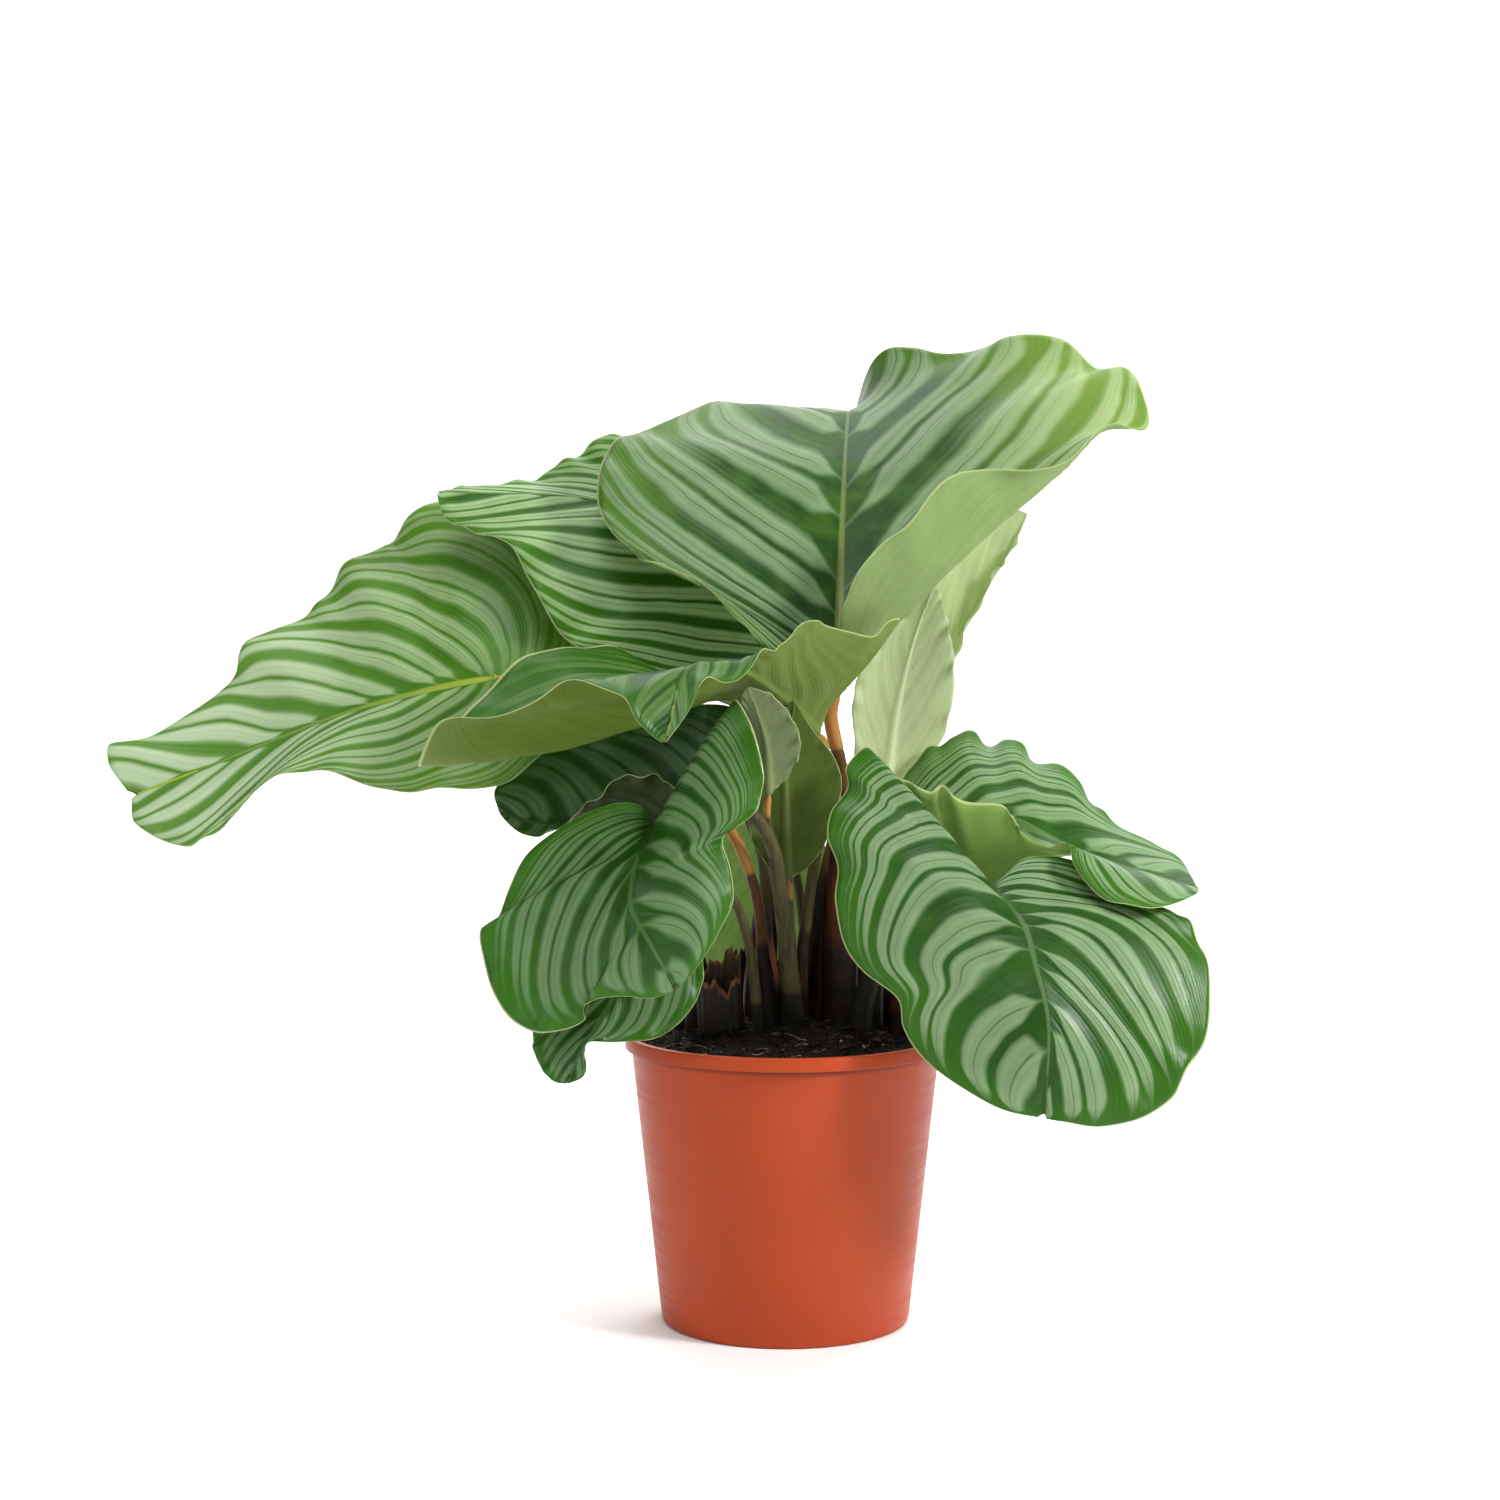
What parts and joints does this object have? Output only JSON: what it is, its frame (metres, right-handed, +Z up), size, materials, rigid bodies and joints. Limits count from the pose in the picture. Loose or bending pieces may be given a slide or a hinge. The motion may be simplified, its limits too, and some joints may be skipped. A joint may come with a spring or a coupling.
{
  "type": "potted houseplant",
  "caption": "Potted foliage plant with broad oval striped leaves on slender stalks, growing from soil in a round tapered plastic nursery pot.",
  "frame": {"origin": "centre of the pot's flat resting face, on the pot's axis", "axes": "+Z up along the pot's axis; -Y towards the side that the picture shows; +X to the picture's right"},
  "size_m": [0.5796, 0.3342, 0.5363],
  "materials": {
    "blade": "satin leaf, dark green with paired pale silver-green bands",
    "stalk": "smooth olive to red-brown stalk",
    "stub": "dull brown torn fibre",
    "soil": "loose dark potting mix with pale flecks",
    "pot": "satin terracotta moulded plastic"
  },
  "bodies": {
    "root": {"pot": "pot", "soil": "soil", "cut_stub": "stub", "blade_crown": "blade", "stalk_crown": "stalk", "blade_upper_left": "blade", "stalk_upper_left": "stalk", "blade_far_left": "blade", "stalk_far_left": "stalk", "blade_front": "blade", "stalk_front": "stalk", "blade_low_left": "blade", "stalk_low_left": "stalk", "blade_shaded_left": "blade", "stalk_shaded_left": "stalk", "blade_rim_left": "blade", "stalk_rim_left": "stalk", "blade_low_right": "blade", "stalk_low_right": "stalk", "blade_right": "blade", "stalk_right": "stalk", "blade_back_pale": "blade", "stalk_back_pale": "stalk", "blade_back_tall": "blade", "stalk_back_tall": "stalk", "blade_inner_small": "blade", "stalk_inner_small": "stalk", "blade_inner_dark": "blade", "stalk_inner_dark": "stalk", "blade_back_low": "blade", "stalk_back_low": "stalk"}
  },
  "joints": []
}
